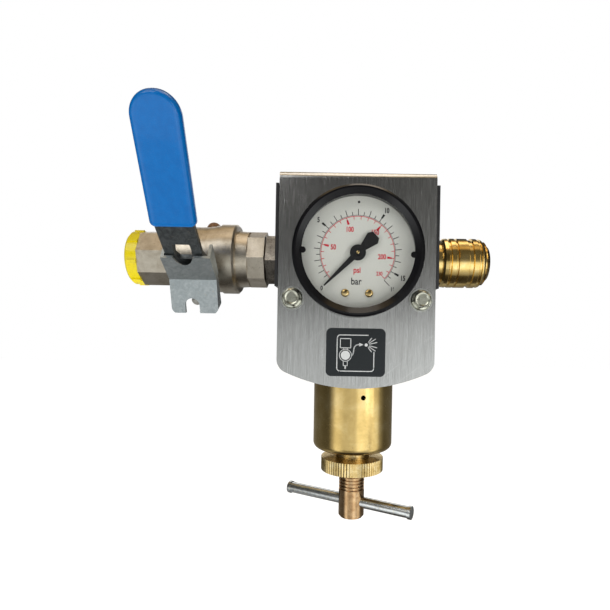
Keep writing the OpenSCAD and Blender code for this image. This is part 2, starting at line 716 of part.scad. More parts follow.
module coupler_seal() {
    color([0.1, 0.1, 0.1]) difference() {
        xcyl(sleeve_x1 - 10.6, sleeve_x1 - 9.1, socket_r + 1.2);
        xcyl(sleeve_x1 - 11, sleeve_x1 - 8, 1.8);
    }
}

back_bracket();
front_panel();
panel_bolts();
panel_washers();
label_plate();
regulator_body();
bonnet();
valve_seat();
poppet();
poppet_spring();
top_plug();
plug_seal();
diaphragm();
diaphragm_plate();
adjusting_spring();
spring_button();
spindle();
lock_nut();
tee_bar();
gauge_case();
gauge_bezel();
gauge_lens();
gauge_dial();
dial_screws();
gauge_pointer();
gauge_socket();
bourdon_tube();
inlet_nipple();
valve_body();
valve_end();
ball();
ball_seats();
stem();
stem_seal();
stem_nut();
lever();
grip_sleeve();
lock_plate();
stop_screw();
vent_plug();
inlet_cap();
coupler_body();
coupler_sleeve();
coupler_balls();
coupler_poppet();
coupler_spring();
coupler_seal();
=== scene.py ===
import json
import math

import bmesh
import bpy
from mathutils import Matrix, Vector

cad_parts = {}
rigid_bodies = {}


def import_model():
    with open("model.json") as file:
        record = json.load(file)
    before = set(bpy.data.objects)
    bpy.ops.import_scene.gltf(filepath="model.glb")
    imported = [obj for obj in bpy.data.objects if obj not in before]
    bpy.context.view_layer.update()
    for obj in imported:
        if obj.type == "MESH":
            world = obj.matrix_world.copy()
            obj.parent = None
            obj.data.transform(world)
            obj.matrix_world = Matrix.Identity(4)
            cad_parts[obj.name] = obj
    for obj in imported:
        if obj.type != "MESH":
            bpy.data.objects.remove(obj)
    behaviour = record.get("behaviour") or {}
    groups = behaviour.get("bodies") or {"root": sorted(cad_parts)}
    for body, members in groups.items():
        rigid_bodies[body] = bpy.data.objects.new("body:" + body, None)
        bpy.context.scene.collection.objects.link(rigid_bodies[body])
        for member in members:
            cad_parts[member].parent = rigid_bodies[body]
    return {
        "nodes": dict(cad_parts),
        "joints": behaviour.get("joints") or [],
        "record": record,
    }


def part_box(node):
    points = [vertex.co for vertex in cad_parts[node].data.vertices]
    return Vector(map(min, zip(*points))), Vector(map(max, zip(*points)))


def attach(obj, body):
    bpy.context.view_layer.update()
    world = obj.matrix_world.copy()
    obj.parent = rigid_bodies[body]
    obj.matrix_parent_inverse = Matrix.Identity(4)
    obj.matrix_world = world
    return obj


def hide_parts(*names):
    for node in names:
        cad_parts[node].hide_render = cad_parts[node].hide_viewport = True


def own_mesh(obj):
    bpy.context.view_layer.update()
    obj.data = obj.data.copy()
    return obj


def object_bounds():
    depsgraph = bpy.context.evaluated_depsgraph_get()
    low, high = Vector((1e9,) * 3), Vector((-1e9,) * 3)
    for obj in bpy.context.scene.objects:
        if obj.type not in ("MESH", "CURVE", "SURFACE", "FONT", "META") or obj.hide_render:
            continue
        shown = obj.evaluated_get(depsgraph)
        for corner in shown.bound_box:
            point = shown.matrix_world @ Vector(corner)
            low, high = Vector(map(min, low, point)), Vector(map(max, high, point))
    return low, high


for o in list(bpy.data.objects):
    bpy.data.objects.remove(o)
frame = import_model()
CAD_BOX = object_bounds()
NODES = frame["nodes"]
MM = 0.001
FLOOR_DROP = 0.16            # the part hangs on a wall, so the floor lies this far under its lowest point
scene = bpy.context.scene
scene.view_settings.view_transform = "Standard"


# ---------------------------------------------------------------- camera, lights, floor

PANEL_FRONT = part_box("front_panel")[0].y
CAMERA_GAP = 0.230           # from the panel's front face to the camera
LENS, SENSOR = 27.1475, 36.0 # mm
SHIFT = (-0.05246, 0.03934)  # shares of the picture's width
CAMERA_X, CAMERA_Z = -0.0095, -0.0373
ROLL = math.radians(1.0)


def add_camera():
    data = bpy.data.cameras.new("camera")
    data.sensor_width, data.lens = SENSOR, LENS
    data.shift_x, data.shift_y = SHIFT
    data.clip_start = 0.01
    cam = bpy.data.objects.new("camera", data)
    scene.collection.objects.link(cam)
    cam.matrix_world = (Matrix.Translation((CAMERA_X, PANEL_FRONT - CAMERA_GAP, CAMERA_Z))
                        @ Matrix.Rotation(math.pi / 2, 4, "X") @ Matrix.Rotation(ROLL, 4, "Z"))
    scene.camera = cam


def area_light(name, at, aim, size, watts, colour=(1, 1, 1)):
    data = bpy.data.lights.new(name, "AREA")
    data.shape, data.size, data.size_y = "RECTANGLE", size[0], size[1]
    data.energy, data.color = watts, colour
    lamp = bpy.data.objects.new(name, data)
    scene.collection.objects.link(lamp)
    lamp.location = at
    lamp.rotation_euler = (Vector(aim) - Vector(at)).to_track_quat("-Z", "Y").to_euler()


def ramp_node(tree, stops):
    r = tree.nodes.new("ShaderNodeValToRGB")
    r.color_ramp.interpolation = "EASE"
    for e in list(r.color_ramp.elements)[1:]:
        r.color_ramp.elements.remove(e)
    for k, (at, colour) in enumerate(stops):
        e = r.color_ramp.elements[0] if k == 0 else r.color_ramp.elements.new(at)
        e.position = at
        e.color = (colour,) * 3 + (1,) if isinstance(colour, (int, float)) else (*colour, 1)
    return r


def add_world():
    """White to the camera; to the rest a room with a tan ceiling, soft windows and a pale lower front."""
    world = bpy.data.worlds.new("studio")
    scene.world = world
    world.use_nodes = True
    t = world.node_tree
    t.nodes.clear()
    coord = t.nodes.new("ShaderNodeTexCoord")
    split = t.nodes.new("ShaderNodeSeparateXYZ")
    t.links.new(coord.outputs["Generated"], split.inputs[0])

    def math_node(op, a, b=None):
        n = t.nodes.new("ShaderNodeMath")
        n.operation = op
        for k, v in enumerate((a, b)):
            if v is None:
                continue
            if isinstance(v, (int, float)):
                n.inputs[k].default_value = v
            else:
                t.links.new(v, n.inputs[k])
        return n.outputs[0]

    turn = math_node("ARCTAN2", split.outputs[0], math_node("MULTIPLY", split.outputs[1], -1.0))
    turn = math_node("ADD", math_node("DIVIDE", turn, 2 * math.pi), 0.5)      # 0.5 = straight in front
    lift = math_node("ADD", math_node("DIVIDE", math_node("ARCSINE", split.outputs[2]), math.pi), 0.5)

    def at_turn(deg):
        return deg / 360 + 0.5

    def at_lift(deg):
        return deg / 180 + 0.5

    across = ramp_node(t, [(at_turn(d), v) for d, v in (
        (-180, .30), (-120, .14), (-72, .10), (-62, .55), (-52, 1.30), (-42, 1.30), (-33, .50), (-26, .34),
        (-8, .34), (-5, .60), (-2, .36), (6, .42), (14, 1.05), (30, 1.10), (38, .72), (50, .75), (58, 1.25),
        (70, 1.20), (84, .30), (100, .12), (140, .14), (180, .30))])
    up = ramp_node(t, [(at_lift(d), c) for d, c in (
        (-90, (.05, .045, .04)), (-66, (.10, .09, .08)), (-54, (.80, .81, .81)), (-30, (1.55, 1.58, 1.58)),
        (-12, (1.45, 1.48, 1.48)), (-3, (.85, .86, .86)), (5, (.42, .42, .41)),
        (15, (.2, .198, .19)), (55, (.2, .195, .18)),
        (62, (1.5, 1.1, .6)), (68, (1.5, 1.1, .6)), (74, (.52, .42, .31)), (90, (.62, .51, .39)))])
    t.links.new(turn, across.inputs[0])
    t.links.new(lift, up.inputs[0])
    # the windows fade out towards the ceiling and the ground
    blur = ramp_node(t, [(0, 0), (at_lift(-60), 0), (at_lift(-35), 1),
                         (at_lift(25), 1), (at_lift(55), 0), (1, 0)])
    t.links.new(lift, blur.inputs[0])
    mix = t.nodes.new("ShaderNodeMix")
    mix.data_type, mix.blend_type = "RGBA", "MIX"
    mix.inputs[6].default_value = (.8, .8, .8, 1)
    t.links.new(blur.outputs[0], mix.inputs[0])
    t.links.new(across.outputs[0], mix.inputs[7])
    product = t.nodes.new("ShaderNodeMix")
    product.data_type, product.blend_type = "RGBA", "MULTIPLY"
    product.inputs[0].default_value = 1.0
    t.links.new(mix.outputs[2], product.inputs[6])
    t.links.new(up.outputs[0], product.inputs[7])
    room = t.nodes.new("ShaderNodeBackground")
    room.inputs[1].default_value = .68
    t.links.new(product.outputs[2], room.inputs[0])
    white = t.nodes.new("ShaderNodeBackground")
    white.inputs[0].default_value = (1, 1, 1, 1)
    path = t.nodes.new("ShaderNodeLightPath")
    pick = t.nodes.new("ShaderNodeMixShader")
    out = t.nodes.new("ShaderNodeOutputWorld")
    t.links.new(path.outputs["Is Camera Ray"], pick.inputs[0])
    t.links.new(room.outputs[0], pick.inputs[1])
    t.links.new(white.outputs[0], pick.inputs[2])
    t.links.new(pick.outputs[0], out.inputs[0])


def add_floor():
    me = bpy.data.meshes.new("floor")
    s, z = 3.0, CAD_BOX[0][2] - FLOOR_DROP
    me.from_pydata([(-s, -s, z), (s, -s, z), (s, s, z), (-s, s, z)], [], [(0, 1, 2, 3)])
    floor = bpy.data.objects.new("floor", me)
    scene.collection.objects.link(floor)
    m = bpy.data.materials.new("floor_white")
    m.use_nodes = True
    p = m.node_tree.nodes["Principled BSDF"]
    p.inputs["Base Color"].default_value = (.5, .5, .5, 1)
    p.inputs["Roughness"].default_value = .8
    p.inputs["Emission Color"].default_value = (1, 1, 1, 1)
    p.inputs["Emission Strength"].default_value = .95
    me.materials.append(m)
    floor.visible_glossy = False


add_camera()
add_world()
add_floor()
area_light("key", (-.55, -.95, .75), (0, -.03, -.02), (.7, .7), 3.6)
area_light("fill", (.8, -.8, .15), (0, -.03, -.02), (.5, .9), 2)
area_light("low", (.05, -.8, -.24), (0, -.04, -.04), (1.3, .5), 1.1, (.95, .99, 1))
area_light("top", (.05, -.05, 1.1), (0, -.03, 0), (.9, .5), 2.5, (1, .9, .78))
area_light("back", (-.2, 1.0, .5), (0, -.03, 0), (1.0, .6), 2)


# ---------------------------------------------------------------- finishes

class Finish:
    """One node material. Its coordinates are millimetres in the part's frame."""

    def __init__(self, name, colour, rough, metal=0.0, **sockets):
        self.m = bpy.data.materials.get(name) or bpy.data.materials.new(name)
        self.m.use_nodes = True
        self.t = self.m.node_tree
        self.t.nodes.clear()
        out = self.add("OutputMaterial")
        self.p = self.add("BsdfPrincipled")
        self.t.links.new(self.p.outputs[0], out.inputs[0])
        self.p.inputs["Base Color"].default_value = (*colour, 1)
        self.p.inputs["Roughness"].default_value = rough
        self.p.inputs["Metallic"].default_value = metal
        for key, value in sockets.items():
            self.p.inputs[key.replace("_", " ")].default_value = value
        coord = self.add("TexCoord")
        scale = self.add("VectorMath", operation="SCALE")
        self.t.links.new(coord.outputs["Object"], scale.inputs[0])
        scale.inputs["Scale"].default_value = 1000.0
        self.xyz = scale.outputs[0]
        self.last_bump = None

    def add(self, kind, **values):
        n = self.t.nodes.new("ShaderNode" + kind)
        for key, value in values.items():
            setattr(n, key, value)
        return n

    def put(self, socket, value):
        if isinstance(value, (int, float)):
            socket.default_value = value
        elif isinstance(value, tuple):
            socket.default_value = (*value, 1) if len(value) == 3 and socket.type == "RGBA" else value
        else:
            self.t.links.new(value, socket)

    def at(self, scale, turn=(0, 0, 0)):
        """The coordinates turned by these degrees and stretched by this per-mm frequency along each axis."""
        first = self.add("Mapping")
        first.inputs["Rotation"].default_value = [math.radians(a) for a in turn]
        self.t.links.new(self.xyz, first.inputs[0])
        n = self.add("Mapping")
        n.inputs["Scale"].default_value = scale if isinstance(scale, tuple) else (scale,) * 3
        self.t.links.new(first.outputs[0], n.inputs[0])
        return n.outputs[0]

    def noise(self, scale, detail=3.0, rough=.55, bend=0.0, turn=(0, 0, 0)):
        n = self.add("TexNoise")
        self.t.links.new(self.at(scale, turn), n.inputs["Vector"])
        n.inputs["Scale"].default_value = 1.0
        n.inputs["Detail"].default_value = detail
        n.inputs["Roughness"].default_value = rough
        n.inputs["Distortion"].default_value = bend
        return n.outputs[0]

    def cells(self, scale, out="Distance", feature="F1"):
        n = self.add("TexVoronoi", feature=feature)
        self.t.links.new(self.at(scale), n.inputs["Vector"])
        n.inputs["Scale"].default_value = 1.0
        return n.outputs[out]

    def levels(self, value, lo, hi, to_lo=0.0, to_hi=1.0):
        n = self.add("MapRange")
        for k, v in enumerate((value, lo, hi, to_lo, to_hi)):
            self.put(n.inputs[k], v)
        return n.outputs[0]

    def calc(self, op, a, b=0.0):
        n = self.add("Math", operation=op)
        self.put(n.inputs[0], a)
        self.put(n.inputs[1], b)
        return n.outputs[0]

    def mix(self, share, a, b, how="MIX"):
        n = self.add("Mix", data_type="RGBA", blend_type=how)
        self.put(n.inputs[0], share)
        self.put(n.inputs[6], a)
        self.put(n.inputs[7], b)
        return n.outputs[2]

    def colour(self, value):
        self.put(self.p.inputs["Base Color"], value)
        return self

    def rough(self, value):
        self.put(self.p.inputs["Roughness"], value)
        return self

    def bump(self, height, depth_mm, strength=1.0):
        n = self.add("Bump")
        n.inputs["Strength"].default_value = strength
        n.inputs["Distance"].default_value = depth_mm * MM
        self.t.links.new(height, n.inputs["Height"])
        if self.last_bump:
            self.t.links.new(self.last_bump, n.inputs["Normal"])
        self.last_bump = n.outputs[0]
        self.put(self.p.inputs["Normal"], self.last_bump)
        return self


def worn(f, colour, dark, light, grain, lo=.35, hi=.68):
    """Colour drifting between a dark and a light tone round the main one."""
    return f.mix(f.levels(grain, lo, .5, 0, 1), dark, f.mix(f.levels(grain, .5, hi, 0, 1), colour, light))


def stainless():
    f = Finish("stainless", (.55, .55, .54), .28, 1.0)
    fine = f.noise((5.0, 5.0, .09), 4, .7)
    broad = f.noise((.9, .9, .03), 3, .6)
    cloud = f.noise(.045, 3, .5)
    base = worn(f, (.54, .54, .525), (.40, .40, .385), (.70, .70, .69), fine)
    base = f.mix(f.levels(broad, .4, .7, 0, .5), base, (.40, .395, .38))
    base = f.mix(f.levels(cloud, .5, .75, 0, .35), base, (.62, .61, .58))
    scratch = f.levels(f.noise((.05, 3.2, 3.2), 2, .4, 0, (0, 38, 0)), .70, .73)
    f.colour(f.mix(f.calc("MULTIPLY", scratch, .35), base, (.86, .86, .84)))
    f.rough(f.levels(fine, .3, .7, .17, .28))
    f.bump(fine, .012, .8).bump(broad, .02, .4)


def black_paint(name, tint=(.018, .018, .02), rough=.42):
    f = Finish(name, tint, rough, 0.0, Coat_Weight=.15)
    skin = f.noise(2.2, 3)
    dust = f.levels(f.noise(.25, 4), .55, .8, 0, .35)
    f.colour(f.mix(dust, tint, (.045, .043, .04)))
    f.rough(f.levels(skin, .3, .7, rough - .08, rough + .12)).bump(skin, .03, .5)


def zinc(name, base, dark, light, rough=.3, tint=None):
    f = Finish(name, base, rough, 1.0)
    patch = f.noise(.7, 4, .6, .6)
    fine = f.noise(6.0, 3)
    c = worn(f, base, dark, light, patch)
    if tint:
        c = f.mix(f.levels(f.noise(.9, 2), .5, .66, 0, .6), c, tint)
    f.colour(c).rough(f.levels(fine, .3, .7, rough - .06, rough + .14)).bump(fine, .012, .5)


def label():
    f = Finish("label", (.016, .02, .023), .4, Specular_IOR_Level=.3)
    grain = f.noise(5.5, 4)
    f.colour(f.mix(f.levels(grain, .35, .7), (.011, .014, .016), (.022, .027, .03)))
    f.rough(f.levels(grain, .3, .7, .34, .5)).bump(grain, .02, .5)


def turned(name, base, dark, light, along, rough=.24, groove=.006, spots=.3, axis="z"):
    """Turned metal: fine rings round its axis, a few darker spots of tarnish."""
    f = Finish(name, base, rough, 1.0)
    lines = {"z": (.12, .12, 9.0), "x": (9.0, .12, .12), "y": (.12, 9.0, .12)}[axis]
    rings = f.noise(lines, 4, .75)
    patch = f.noise(along, 4, .6, .3)
    c = worn(f, base, dark, light, patch)
    c = f.mix(f.levels(rings, .35, .7, 0, .22), c, dark)
    mark = f.levels(f.noise(.85, 3, .6, 1.0), .64, .72, 0, spots)
    f.colour(f.mix(mark, c, tuple(v * .45 for v in base)))
    f.rough(f.calc("ADD", f.levels(rings, .3, .7, rough - .05, rough + .09), f.calc("MULTIPLY", mark, .5)))
    f.bump(rings, groove, .9)


def cast_nickel(name, base, dark, light, rough=.38, grain=.05):
    f = Finish(name, base, rough, 1.0)
    skin = f.noise(1.9, 5, .62)
    patch = f.noise(.16, 4, .6, .5)
    c = worn(f, base, dark, light, patch)
    pits = f.levels(f.cells(1.4), .0, .22, 1, 0)
    f.colour(f.mix(f.calc("MULTIPLY", pits, .3), c, dark))
    f.rough(f.levels(skin, .3, .7, rough - .08, rough + .14)).bump(skin, grain, .8)


def flake(name, base, dark, light, edge, rough=.42):
    """Zinc flake coating: mottled, with thin spots where the steel shows through."""
    f = Finish(name, base, rough, .85)
    patch = f.noise(.33, 6, .68, 1.2)
    fine = f.noise(3.4, 5, .7)
    c = worn(f, base, dark, light, patch)
    c = f.mix(f.levels(fine, .45, .7, 0, .5), c, light)
    bare = f.levels(f.noise(.8, 5, .7, .8), .62, .68, 0, .7)
    f.colour(f.mix(bare, c, edge))
    f.rough(f.levels(fine, .3, .7, rough - .1, rough + .16)).bump(fine, .04, .6).bump(patch, .1, .3)


def plain(name, base, rough, metal=0.0, vary=.12, grain=3.0, depth=.02, **sockets):
    f = Finish(name, base, rough, metal, **sockets)
    n = f.noise(grain, 4)
    lo = tuple(v * (1 - vary) for v in base)
    hi = tuple(min(1.0, v * (1 + vary)) for v in base)
    f.colour(f.mix(f.levels(n, .3, .7), lo, hi))
    f.rough(f.levels(n, .3, .7, rough * .85, min(1, rough * 1.2))).bump(n, depth, .5)
    return f


def vinyl():
    """Glossy dipped vinyl, a little rubbed."""
    f = Finish("grip_blue", (.0, .14, .47), .2, 0.0, Coat_Weight=.3, Coat_Roughness=.05, IOR=1.45,
               Specular_IOR_Level=.3)
    skin = f.noise(.35, 3, .5)
    fine = f.noise(4.0, 3)
    c = f.mix(f.levels(skin, .3, .7), (.0, .128, .435), (.0, .148, .485))
    rub = f.levels(f.noise((.5, .5, .12), 5, .7, .5), .66, .78, 0, .35)
    f.colour(f.mix(rub, c, (.004, .155, .5)))
    f.rough(f.levels(fine, .3, .7, .17, .3)).bump(skin, .05, .15).bump(fine, .006, .3)


def sintered():
    f = Finish("sintered_bronze", (.40, .23, .115), .72, .45)
    beads = f.cells(2.6)
    # the colour follows the bead height: lighter on the crowns and darker down into the gaps between the
    # beads, a painted shade in the gaps
    f.colour(f.mix(f.levels(beads, .1, .6), (.50, .30, .16), (.22, .12, .06)))
    f.bump(f.levels(beads, 0, .7, 1, 0), .16, .9)


stainless()
black_paint("black_paint")
black_paint("regulator_casting", (.03, .03, .032), .45)
zinc("zinc_bolts", (.60, .60, .50), (.46, .45, .36), (.74, .74, .64), .2, (.56, .58, .44))
zinc("steel_washers", (.56, .57, .54), (.42, .43, .40), (.70, .70, .68), .24, (.55, .55, .46))
zinc("bar_steel", (.70, .72, .72), (.50, .52, .53), (.86, .87, .86), .15, (.74, .68, .5))
zinc("spring_steel", (.52, .52, .53), (.34, .34, .35), (.7, .7, .7), .3)
zinc("plate_aluminium", (.68, .68, .68), (.56, .56, .56), (.78, .78, .78), .35)
zinc("bright_nickel", (.70, .68, .62), (.55, .53, .47), (.84, .83, .78), .14)
label()
turned("bonnet_brass", (.70, .50, .19), (.60, .42, .15), (.80, .61, .28), .10, .17, .004, .25, "z")
turned("spindle_bronze", (.56, .36, .18), (.42, .25, .12), (.68, .47, .27), .3, .2, .006, .4, "z")
turned("nut_brass", (.80, .60, .27), (.58, .40, .14), (.92, .76, .44), .3, .26, .008, .25, "z")
turned("inner_brass", (.74, .55, .25), (.52, .36, .14), (.88, .72, .4), .3, .2, .006, .2, "z")
turned("coupler_brass", (.74, .52, .18), (.62, .42, .13), (.86, .66, .3), .15, .15, .004, .25, "x")
turned("sleeve_brass", (.76, .55, .20), (.66, .46, .15), (.86, .67, .31), .15, .15, .004, .3, "x")
cast_nickel("nickel_brass", (.56, .50, .405), (.46, .40, .31), (.64, .58, .48), .32)
cast_nickel("nipple_dark", (.34, .315, .28), (.2, .18, .155), (.5, .46, .4), .26, .015)
# the lever's flake coat is painted much darker than the lock plate's: painted shade for the lever facing
# downward
flake("lever_steel", (.12, .135, .14), (.075, .085, .09), (.19, .205, .21), (.30, .28, .23))
flake("lock_steel", (.42, .465, .475), (.34, .38, .39), (.53, .57, .575), (.56, .50, .40))
vinyl()
sintered()
plain("seal_rubber", (.018, .018, .019), .6)
plain("gauge_black", (.005, .005, .006), .17, 0.0, .2, 1.2, .006,
      Specular_IOR_Level=.35, Coat_Weight=.1, Coat_Roughness=.05)
plain("pointer_black", (.008, .008, .009), .42)
plain("dial_white", (.78, .80, .74), .5, 0.0, .02, .4, .01)
plain("ptfe", (.85, .85, .82), .4, 0.0, .03)
plain("cap_yellow", (.88, .72, .0), .3, 0.0, .05, .5, .06, Coat_Weight=.25, Coat_Roughness=.15)
glass = Finish("gauge_glass", (.01, .01, .01), .02, 0.0, Alpha=.06, IOR=1.5, Specular_IOR_Level=.9)
smear = glass.noise(.12, 3)
glass.rough(glass.levels(smear, .4, .7, .015, .06))


# ---------------------------------------------------------------- mesh helpers

def piece(name, bm_or_mesh, slot, body="valve_base", smooth=30.0):
    """Links a mesh in the row frame as a piece of that slot's finish, riding on that body."""
    if isinstance(bm_or_mesh, bmesh.types.BMesh):
        me = bpy.data.meshes.new(name)
        bm_or_mesh.to_mesh(me)
        bm_or_mesh.free()
    else:
        me = bm_or_mesh
    me.materials.clear()
    me.materials.append(bpy.data.materials[slot])
    for p in me.polygons:
        p.use_smooth = True
    me.set_sharp_from_angle(angle=math.radians(smooth))
    o = bpy.data.objects.new(name, me)
    scene.collection.objects.link(o)
    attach(o, body)
    return o


PRINT_THICK, PRINT_LIFT = .06 * MM, .05 * MM


def plate(bm, outline, y, thick=PRINT_THICK):
    """A thin flat print facing the viewer: outline is a list of (x, z) in mm round the shape."""
    front = [bm.verts.new((x * MM, y, z * MM)) for x, z in outline]
    back = [bm.verts.new((v.co.x, y + thick, v.co.z)) for v in front]
    n = len(front)
    try:
        bm.faces.new(front)
        bm.faces.new(back[::-1])
    except ValueError:
        return
    for k in range(n):
        bm.faces.new((front[k], back[k], back[(k + 1) % n], front[(k + 1) % n]))


def bar(bm, a, b, w, y, w2=None):
    """A straight printed stroke from a to b, w wide (w2 at its end)."""
    w2 = w if w2 is None else w2
    d = Vector((b[0] - a[0], b[1] - a[1]))
    n = Vector((-d.y, d.x)).normalized() / 2
    plate(bm, [(a[0] + n.x * w, a[1] + n.y * w), (b[0] + n.x * w2, b[1] + n.y * w2),
               (b[0] - n.x * w2, b[1] - n.y * w2), (a[0] - n.x * w, a[1] - n.y * w)], y)


def arc(bm, r, w, a0, a1, y, centre=(0, 0), steps=90):
    """A printed ring segment between two angles, in degrees from +X towards +Z."""
    def at(rad, a):
        return (centre[0] + rad * math.cos(math.radians(a)), centre[1] + rad * math.sin(math.radians(a)))
    for k in range(steps):
        s, t = a0 + (a1 - a0) * k / steps, a0 + (a1 - a0) * (k + 1) / steps
        plate(bm, [at(r + w / 2, s), at(r + w / 2, t), at(r - w / 2, t), at(r - w / 2, s)], y)


def disc(bm, centre, r, y, steps=32):
    turns = [2 * math.pi * k / steps for k in range(steps)]
    plate(bm, [(centre[0] + r * math.cos(a), centre[1] + r * math.sin(a)) for a in turns], y)


def words(bm, text, centre, height, y, weight=0.0, squeeze=1.0):
    """Characters as a thin mesh in the print, centred at (x, z) mm, with this height in mm."""
    curve = bpy.data.curves.new("t", "FONT")
    curve.body = text
    curve.align_x, curve.align_y = "CENTER", "CENTER"
    curve.size = 1.0
    curve.offset = weight
    curve.extrude = curve_depth = 0.02
    o = bpy.data.objects.new("t", curve)
    scene.collection.objects.link(o)
    bpy.context.view_layer.update()
    me = bpy.data.meshes.new_from_object(o.evaluated_get(bpy.context.evaluated_depsgraph_get()))
    bpy.data.objects.remove(o)
    xs = [v.co.x for v in me.vertices]
    ys = [v.co.y for v in me.vertices]
    cx, cy = (max(xs) + min(xs)) / 2, (max(ys) + min(ys)) / 2
    k = height / (max(ys) - min(ys)) * MM
    for v in me.vertices:
        v.co = Vector((centre[0] * MM + (v.co.x - cx) * k * squeeze, y - (v.co.z - curve_depth) * MM,
                       centre[1] * MM + (v.co.y - cy) * k))
    bm.from_mesh(me)
    bpy.data.meshes.remove(me)


def ink(name, colour, rough=.55, grain=6.0):
    f = Finish(name, colour, rough)
    n = f.noise(grain, 3)
    thin, full = tuple(v * .82 for v in colour), tuple(min(1, v * 1.12) for v in colour)
    f.colour(f.mix(f.levels(n, .3, .7), thin, full))
    f.rough(f.levels(n, .3, .7, rough - .1, rough + .1))


ink("print_black", (.012, .012, .013))
ink("print_red", (.72, .018, .045))
ink("print_white", (.74, .76, .76))


# ---------------------------------------------------------------- dial print

DIAL_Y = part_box("gauge_dial")[0].y - PRINT_LIFT
SWEEP_START, SWEEP = 225.0, 270.0        # degrees; the scale runs clockwise from lower left
BAR_TOP, PSI_PER_BAR = 16.0, 14.5038
BLACK_R, BLACK_ROOT, RED_R = 18.55, 18.5, 18.05     # the two scale rings and the black ticks' inner ends


def dial_angle(bar_value):
    return SWEEP_START - SWEEP * bar_value / BAR_TOP


def ray(angle, r):
    return (r * math.cos(math.radians(angle)), r * math.sin(math.radians(angle)))


def dial_print():
    """A 0 to 16 bar scale in black with 0 to 230 psi in red inside it."""
    black, red = bmesh.new(), bmesh.new()
    arc(black, BLACK_R, .18, dial_angle(BAR_TOP), dial_angle(0), DIAL_Y)
    for k in range(33):
        v = k / 2
        a = dial_angle(v)
        reach = 21.6 if k % 2 == 0 else 20.3
        bar(black, ray(a, BLACK_ROOT), ray(a, reach), .34, DIAL_Y)
        if v in (5, 10, 15):
            bar(black, ray(a, 20.6), ray(a, 22.8), .8, DIAL_Y, 1.1)
    end = dial_angle(BAR_TOP)
    bar(black, ray(end, BLACK_ROOT), ray(end, 22.4), .22, DIAL_Y)
    for v, r, size in ((0, 24.6, 2.3), (5, 25.2, 2.6), (10, 25.3, 2.6), (15, 25.4, 2.6), (16, 24.6, 2.1)):
        words(black, str(v), ray(dial_angle(v), r), size, DIAL_Y, .034, .74)
    words(black, "bar", (-.4, -13.8), 3.4, DIAL_Y, .016, .84)
    disc(black, (0.2, 25.0), .62, DIAL_Y)
    arc(red, RED_R, .3, dial_angle(230 / PSI_PER_BAR), dial_angle(0), DIAL_Y)
    for k in range(24):
        a = dial_angle(10 * k / PSI_PER_BAR)
        bar(red, ray(a, 18.0), ray(a, 16.5), .3, DIAL_Y)
        if 10 * k in (50, 100, 150, 200):
            bar(red, ray(a, 16.9), ray(a, 14.6), .75, DIAL_Y, 1.15)
    for v, r, size in ((50, 12.3, 2.6), (100, 12.2, 2.6), (150, 13.4, 2.6), (200, 12.0, 2.6),
                       (230, 14.6, 2.0)):
        words(red, str(v), ray(dial_angle(v / PSI_PER_BAR), r), size, DIAL_Y, .03, .78)
    words(red, "psi", (-.2, -8.8), 3.6, DIAL_Y, .024, .84)
    piece("dial_print_black", black, "print_black")
    piece("dial_print_red", red, "print_red")


dial_print()


# ---------------------------------------------------------------- pictogram on the label

LABEL_LO, LABEL_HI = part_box("label_plate")
LABEL_Y = LABEL_LO.y - PRINT_LIFT
LABEL_AT = ((LABEL_LO.x + LABEL_HI.x) / 2 / MM, (LABEL_LO.z + LABEL_HI.z) / 2 / MM)


def label_print():
    """A plain sign for air from a regulator to a blow gun: a framed box, ball, pipe, arrow and spray."""
    bm = bmesh.new()
    cx, cz = LABEL_AT

    def p(x, z):
        return (cx + x, cz + z)

    def path(points, w):
        for a, b in zip(points, points[1:]):
            bar(bm, p(*a), p(*b), w, LABEL_Y)
            disc(bm, p(*b), w / 2, LABEL_Y, 14)

    def corner(x, z, r, a0):
        arc(bm, r, .42, a0, a0 + 90, LABEL_Y, p(x, z), 12)

    left, right, top, low, r = -9.3, 9.1, 8.6, -9.4, 1.6
    path([(left + r, top), (6.2, top)], .42)
    path([(right, .4), (right, low + r)], .42)
    path([(right - r, low), (left + r, low)], .42)
    path([(left, low + r), (left, top - r)], .42)
    corner(right - r, low + r, r, 270)
    corner(left + r, low + r, r, 180)
    corner(left + r, top - r, r, 90)
    path([(-7.7, 2.2), (-7.7, 6.8), (-2.5, 6.8), (-2.5, 2.2), (-7.7, 2.2)], .36)
    path([(-6.0, 2.2), (-6.0, 1.0)], .3)
    path([(-4.2, 2.2), (-4.2, 1.0)], .3)
    disc(bm, p(-5.1, -1.5), 2.3, LABEL_Y, 40)
    arc(bm, 3.0, .3, 0, 360, LABEL_Y, p(-5.1, -1.5), 48)
    path([(-6.1, -4.4), (-6.1, -6.7), (-4.1, -6.7), (-4.1, -4.4)], .32)
    path([(-5.1, -6.8), (-5.1, -8.1)], .7)
    path([(-2.2, -1.9), (-1.5, -1.2), (-1.1, -.1), (-1.0, 1.3), (-.7, 2.6), (0.0, 3.5), (1.0, 3.9),
          (1.9, 3.9)], .5)
    plate(bm, [p(1.7, 3.0), p(3.8, 3.9), p(1.7, 4.8)], LABEL_Y)
    disc(bm, p(5.2, 3.8), .8, LABEL_Y, 24)
    for a in (52, 33, 14, -14, -33, -52):
        d = Vector((math.cos(math.radians(a)), math.sin(math.radians(a))))
        reach = 5.6 if abs(a) < 45 else 4.4
        near, far = 1.5 * d, reach * d
        bar(bm, p(5.2 + near.x, 3.8 + near.y), p(5.2 + far.x, 3.8 + far.y), .3, LABEL_Y, .38)
    piece("label_print", bm, "print_white")


label_print()


# ---------------------------------------------------------------- gauge trim

